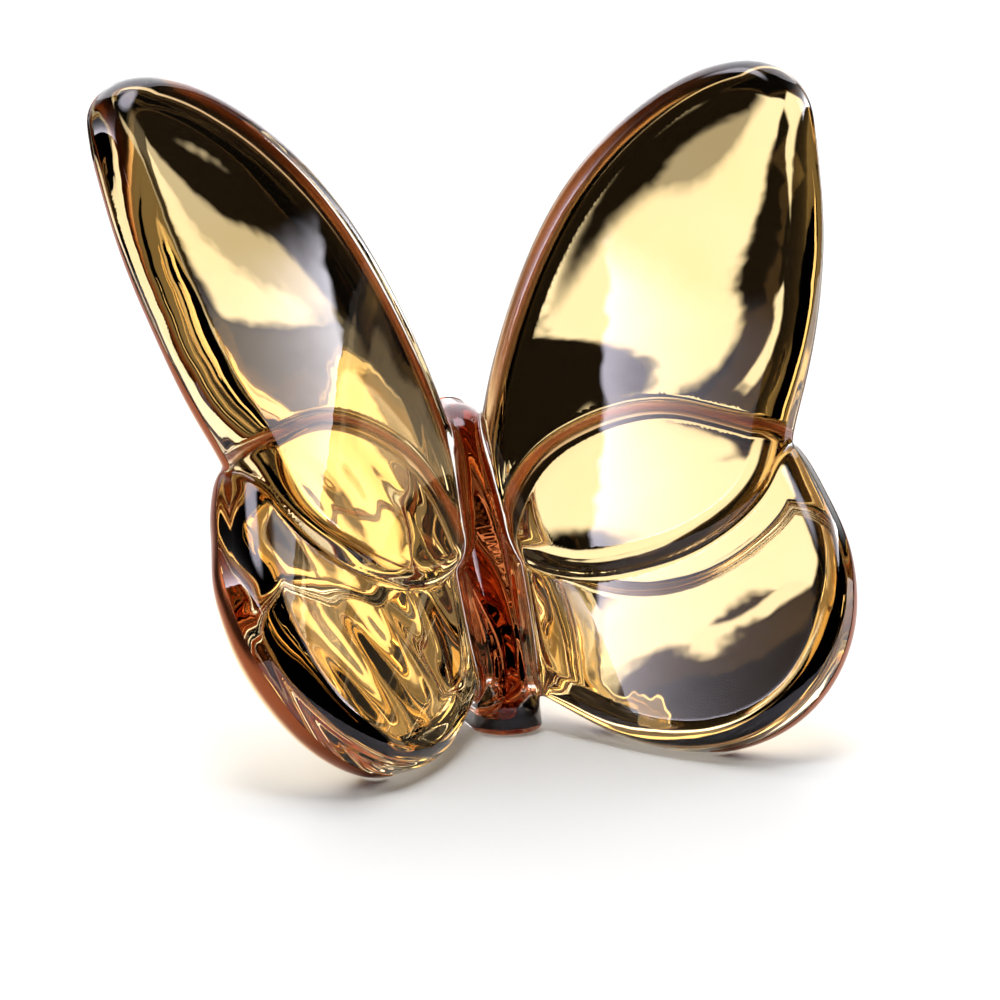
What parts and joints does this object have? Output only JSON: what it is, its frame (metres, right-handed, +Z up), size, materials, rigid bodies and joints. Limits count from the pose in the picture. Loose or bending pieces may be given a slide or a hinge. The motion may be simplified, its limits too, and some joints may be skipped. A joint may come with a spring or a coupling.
{
  "type": "butterfly ornament",
  "caption": "Free-standing cast crystal butterfly with spread, forward-swept wings, a slim leaning body on a flared tail foot, and a gold film on its back.",
  "frame": {"origin": "on the floor, in the flat face of the tail foot, where the leaning body's axis meets it", "axes": "+Z up, -Y towards the side the ornament faces, +X towards the wing on the right when it is seen from the front"},
  "size_m": [0.0698, 0.0426, 0.0594],
  "materials": {
    "crystal": "clear fire-polished lead crystal, softly rippled, faintly warm in the thick rims",
    "gold_lustre": "mirror-bright gold lustre fired on the back, seen through the crystal"
  },
  "bodies": {
    "root": {"tail_foot": "crystal", "abdomen": "crystal", "thorax": "crystal", "head": "crystal", "forewing_right": "crystal", "forewing_left": "crystal", "hindwing_right": "crystal", "hindwing_left": "crystal", "gold_forewing_right": "gold_lustre", "gold_forewing_left": "gold_lustre", "gold_hindwing_right": "gold_lustre", "gold_hindwing_left": "gold_lustre", "gold_body": "gold_lustre"}
  },
  "joints": []
}
